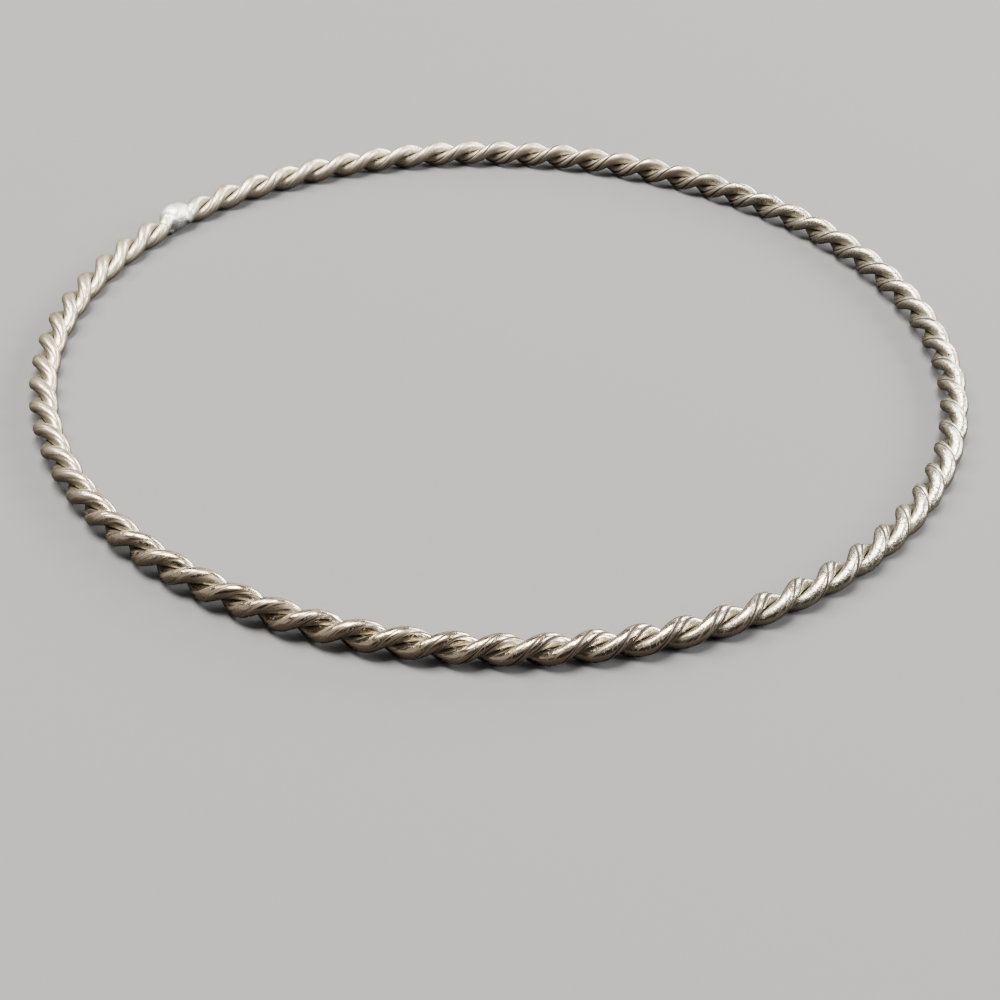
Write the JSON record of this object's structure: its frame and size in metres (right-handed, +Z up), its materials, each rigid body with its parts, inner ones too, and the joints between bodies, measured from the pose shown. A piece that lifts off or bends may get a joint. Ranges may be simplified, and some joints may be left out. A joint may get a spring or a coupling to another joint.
{
  "type": "twisted wire bangle",
  "caption": "Slim closed bangle of round silver-tone wires twisted together like a rope, its ends held by a small solder joint.",
  "frame": {"origin": "middle of the bangle on the surface it lies on", "axes": "+Z up, through the wrist hole; the solder joint lies to the back left, between +Y and -X"},
  "size_m": [0.0692, 0.0692, 0.0023],
  "materials": {
    "aged_silver": "silver wire, worn bright on the crests, darkened with a warm grey-olive tarnish in the grooves, with fine scratches and small dark pits",
    "bright_solder": "bright white silver solder, smooth and slightly lumpy"
  },
  "bodies": {
    "root": {"first_wire": "aged_silver", "second_wire": "aged_silver", "solder_joint": "bright_solder"}
  },
  "joints": []
}
